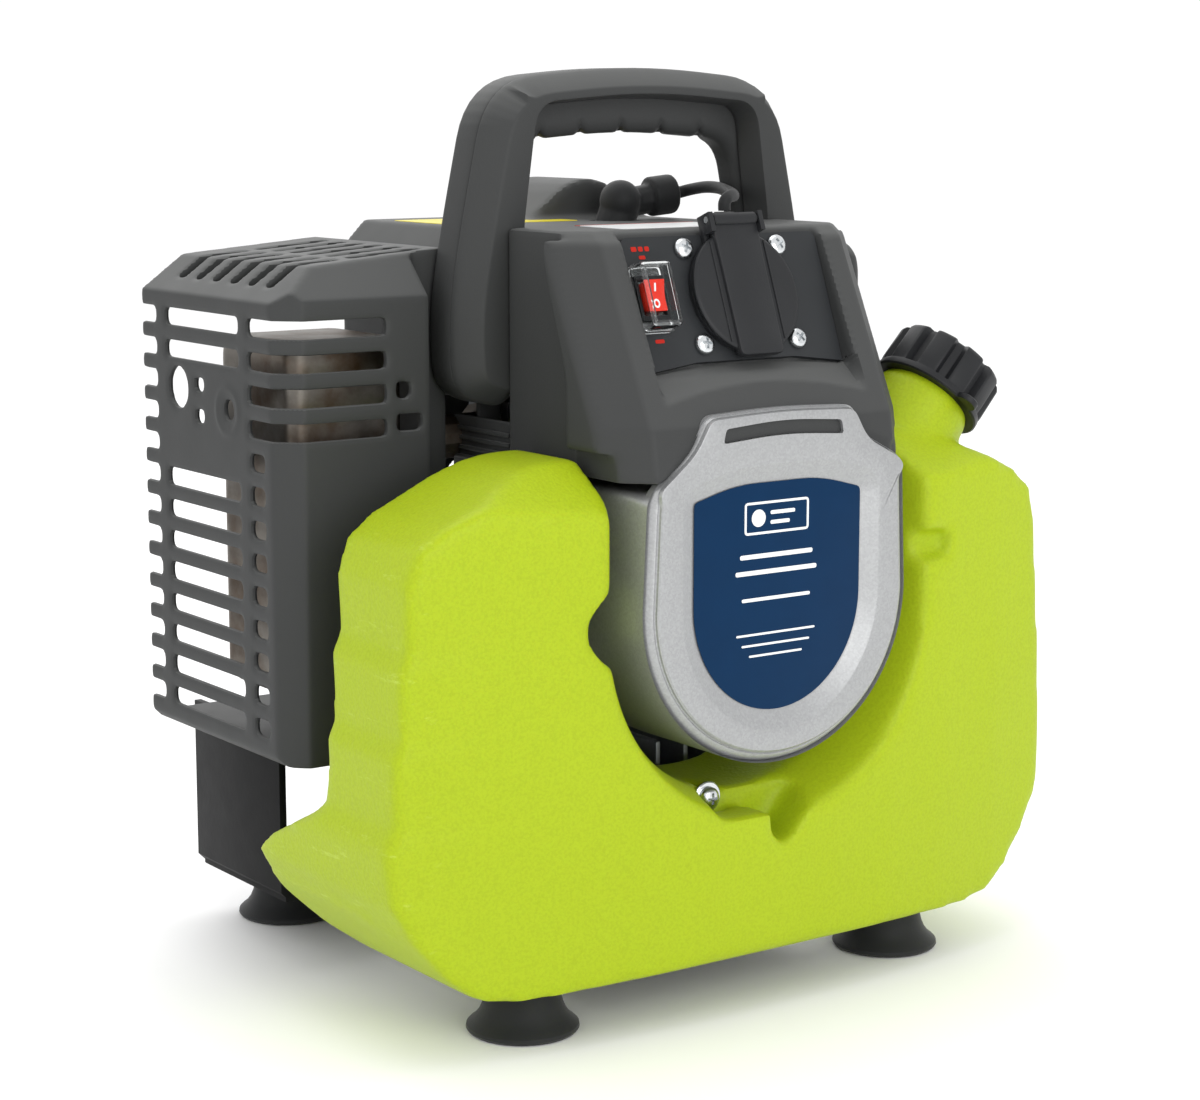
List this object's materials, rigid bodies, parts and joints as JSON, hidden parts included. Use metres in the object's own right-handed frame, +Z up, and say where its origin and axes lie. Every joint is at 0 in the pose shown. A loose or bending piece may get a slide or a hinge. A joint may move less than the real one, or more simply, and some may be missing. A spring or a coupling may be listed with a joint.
{
  "type": "portable generator",
  "caption": "Small petrol inverter generator with a carrying handle, a fuel tank round the fan cover, a sloping socket panel and a slotted silencer guard.",
  "frame": {"origin": "on the floor under the middle of the machine's box", "axes": "+Z up, -Y towards the fan cover and control panel, -X towards the silencer guard"},
  "size_m": [0.3108, 0.237, 0.351],
  "materials": {
    "lime_tank": "blow-moulded polyethylene with a fine pebbled skin",
    "dark_plastic": "moulded plastic, satin with a fine spark grain",
    "black_plastic": "moulded plastic, satin",
    "rubber": "matt",
    "silver_paint": "satin silver lacquer",
    "blue_label": "printed polyester film",
    "steel": "turned and pressed",
    "chrome_screws": "bright zinc plating",
    "black_steel": "black powder coat",
    "cast_alloy": "die cast",
    "copper": "enamelled winding wire",
    "red_plastic": "moulded, gloss",
    "clear_cover": "clear soft plastic",
    "foam": "open-cell foam",
    "rope": "braided polyester",
    "ceramic": "glazed",
    "brass": "cast and machined",
    "white_label": "printed film",
    "yellow_label": "printed film"
  },
  "bodies": {
    "root": {"fuel_tank": "lime_tank", "control_housing": "dark_plastic", "handle_front_shell": "dark_plastic", "handle_rear_shell": "dark_plastic", "engine_shroud": "dark_plastic", "silencer_guard": "dark_plastic", "air_cleaner_cover": "dark_plastic", "vent_insert": "dark_plastic", "control_panel": "black_plastic", "socket_body": "black_plastic", "switch_body": "black_plastic", "recoil_housing": "black_plastic", "air_cleaner_case": "black_plastic", "ignition_coil": "black_plastic", "foot_front_left": "rubber", "foot_front_right": "rubber", "foot_rear_left": "rubber", "foot_rear_right": "rubber", "intake_manifold": "rubber", "fuel_hose": "rubber", "spark_plug_boot": "rubber", "ignition_lead": "rubber", "lead_grommet": "rubber", "fan_cover": "silver_paint", "label_plate": "blue_label", "lid_hinge_pin": "steel", "silencer": "steel", "exhaust_pipe": "steel", "recoil_spring": "steel", "panel_screw_upper_left": "chrome_screws", "panel_screw_upper_right": "chrome_screws", "panel_screw_lower_left": "chrome_screws", "panel_screw_lower_right": "chrome_screws", "tank_screw": "chrome_screws", "base_frame": "black_steel", "crankcase": "cast_alloy", "cylinder": "cast_alloy", "inverter_module": "cast_alloy", "stator": "copper", "switch_cover": "clear_cover", "air_filter": "foam", "pull_rope": "rope", "spark_plug": "ceramic", "carburettor": "brass"},
    "lid": {"socket_lid": "black_plastic"},
    "rocker": {"switch_rocker": "red_plastic"},
    "cap_lift": {"cap_liner": "rubber"},
    "cap": {"fuel_cap": "black_plastic"},
    "crank": {"crankshaft_front": "steel", "crankshaft_rear": "steel", "flywheel_rotor": "steel", "cooling_fan": "black_plastic", "starter_cup": "steel"},
    "piston": {"piston": "cast_alloy", "piston_pin": "steel", "connecting_rod": "steel", "crank_pin": "steel"},
    "pull": {"pull_handle": "black_plastic"},
    "pulley": {"recoil_pulley": "black_plastic"},
    "choke": {"choke_lever": "black_plastic"}
  },
  "joints": [
    {"name": "lid_hinge", "type": "hinge", "parent": "root", "child": "lid", "pos_m": [0.0037, -0.08388, 0.29418], "axis": [-1, 0, 0], "range_deg": [0, 110], "stiffness_Nm_per_rad": 0.004, "springref_deg": -20.05},
    {"name": "rocker_pivot", "type": "hinge", "parent": "root", "child": "rocker", "pos_m": [-0.0375, -0.08782, 0.26634], "axis": [-1, 0, 0], "range_deg": [0, 13]},
    {"name": "cap_lift", "type": "slide", "parent": "root", "child": "cap_lift", "axis": [0.6756, 0, 0.7373], "range_m": [0, 0.012]},
    {"name": "cap_turn", "type": "hinge", "parent": "cap_lift", "child": "cap", "pos_m": [0.1115, -0.071, 0.2194], "axis": [0.6756, 0, 0.7373], "range_deg": [0, 1080]},
    {"name": "crank_turn", "type": "hinge", "parent": "root", "child": "crank", "pos_m": [0.0015, 0.009, 0.15], "axis": [0, 1, 0], "continuous": true},
    {"name": "piston_stroke", "type": "slide", "parent": "root", "child": "piston", "axis": [0, 0, 1], "range_m": [-0.034, 0]},
    {"name": "rope_pull", "type": "slide", "parent": "root", "child": "pull", "axis": [0, 0, 1], "range_m": [0, 0.5], "stiffness_N_per_m": 15, "springref_m": -0.3, "deforming": ["pull_rope"]},
    {"name": "pulley_turn", "type": "hinge", "parent": "root", "child": "pulley", "pos_m": [0.0015, 0.09, 0.15], "axis": [0, -1, 0], "range_deg": [0, 930]},
    {"name": "choke_turn", "type": "hinge", "parent": "root", "child": "choke", "pos_m": [0.066, 0.02335, 0.218], "axis": [0, 1, 0], "range_deg": [0, 50]}
  ],
  "couplings": [
    {"joint": "cap_lift", "follows": "cap_turn", "m_per_rad": 0.0006366},
    {"joint": "pulley_turn", "follows": "rope_pull", "rad_per_m": 32.258}
  ]
}
